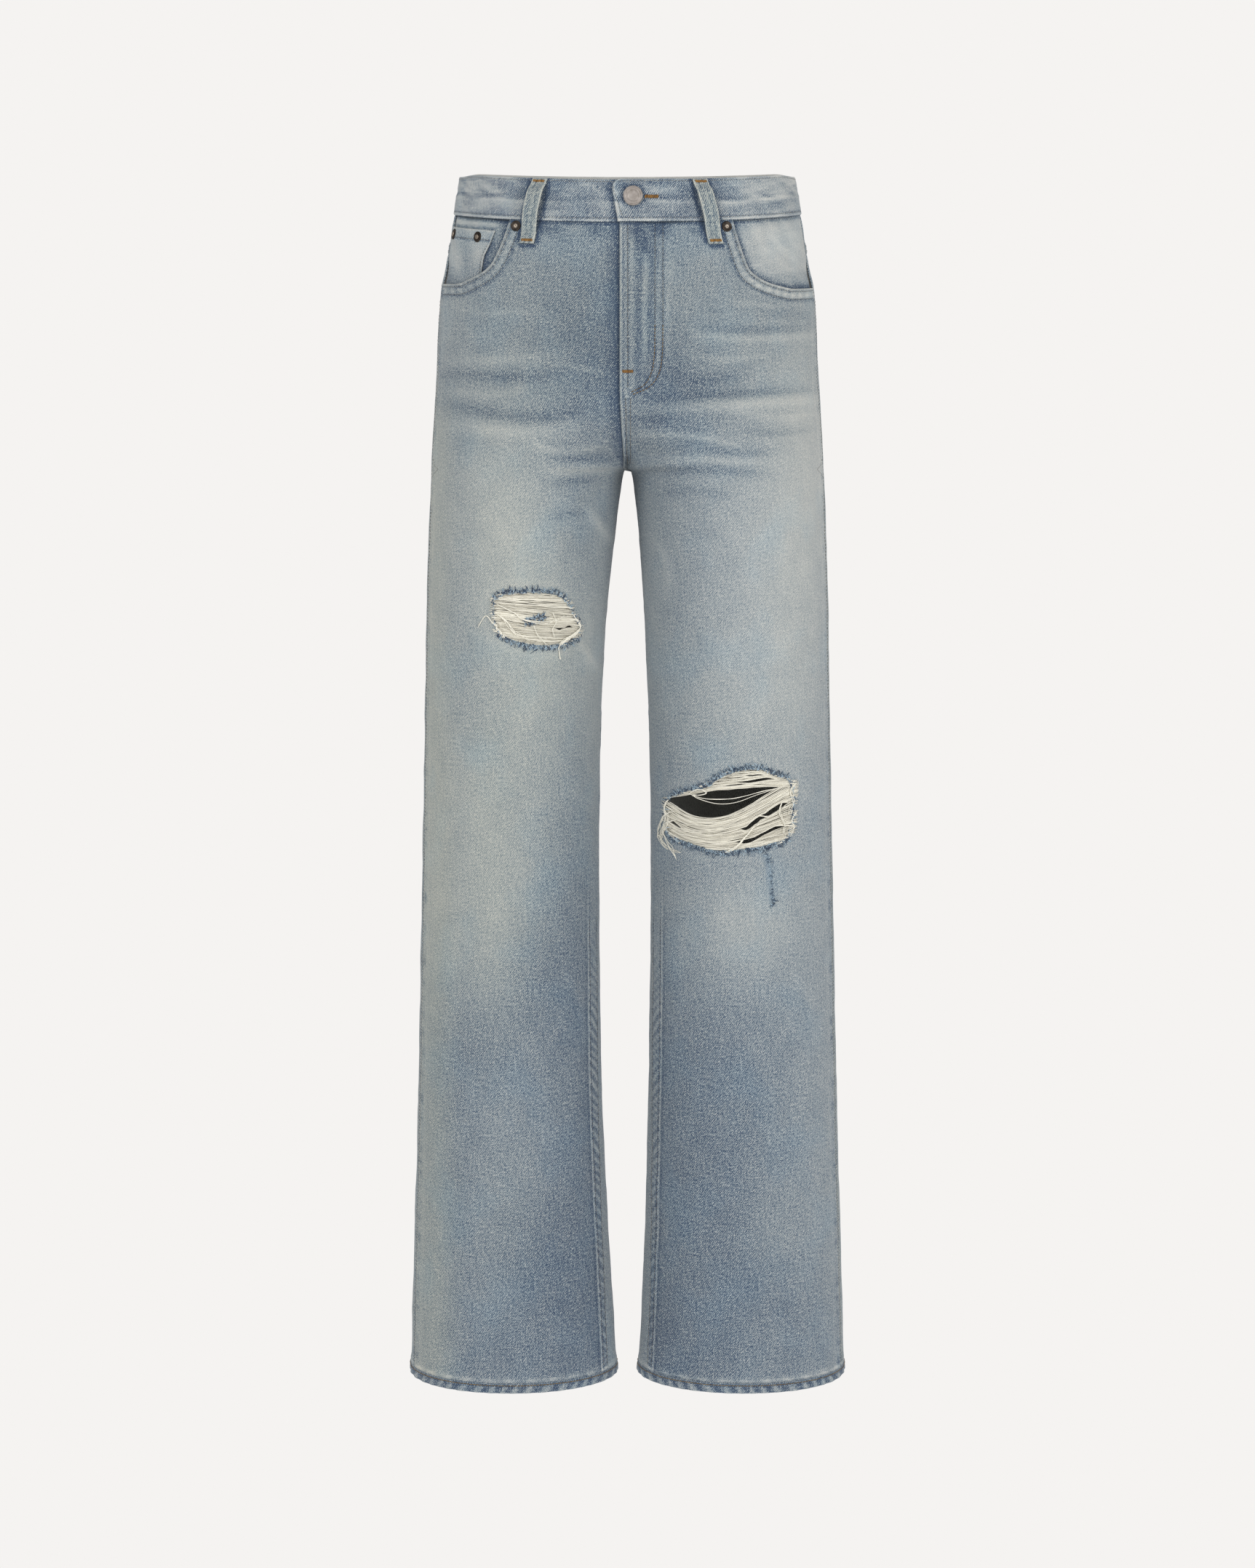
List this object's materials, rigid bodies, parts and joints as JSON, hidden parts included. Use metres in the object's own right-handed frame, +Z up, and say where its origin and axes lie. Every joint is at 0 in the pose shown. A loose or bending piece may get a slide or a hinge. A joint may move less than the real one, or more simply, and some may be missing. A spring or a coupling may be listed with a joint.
{
  "type": "ripped jeans",
  "caption": "Straight-leg ripped denim jeans, filled out as if worn, open at waist and hems, with a button waistband, belt loops and worn-through thigh and knee.",
  "frame": {"origin": "middle of the waist opening, half way up the waistband, where the wearer holds the jeans up", "axes": "+Z up along the garment, front facing -Y, wearer's left at +X"},
  "size_m": [0.3996, 0.2436, 1.0871],
  "materials": {
    "denim": "stone-washed blue denim, matte, faded pale down the thighs and knees",
    "pocket_denim": "faded pale denim of the pocket facings, matte",
    "hem_denim": "folded, roped hem denim with tan thread, matte",
    "weft_threads": "undyed cream cotton weft, bare and frayed",
    "button_metal": "satin grey metal",
    "rivet_metal": "dark antiqued metal with a bright worn nipple"
  },
  "bodies": {
    "root": {"front_left": "denim", "front_right": "denim", "back_left": "denim", "yoke_left": "denim", "back_right": "denim", "yoke_right": "denim", "pocket_facing_left": "pocket_denim", "pocket_facing_right": "pocket_denim", "coin_pocket": "pocket_denim", "back_pocket_left": "denim", "back_pocket_right": "denim", "waistband": "denim", "belt_loop_front_left": "denim", "belt_loop_front_right": "denim", "belt_loop_back_left": "denim", "belt_loop_back_right": "denim", "belt_loop_centre_back": "denim", "hem_left": "hem_denim", "hem_right": "hem_denim", "thigh_rip_threads": "weft_threads", "knee_rip_threads_upper": "weft_threads", "knee_rip_threads_lower": "weft_threads", "waist_button": "button_metal", "rivet_pocket_left": "rivet_metal", "rivet_pocket_right": "rivet_metal", "rivet_coin_front": "rivet_metal", "rivet_coin_side": "rivet_metal"}
  },
  "joints": []
}
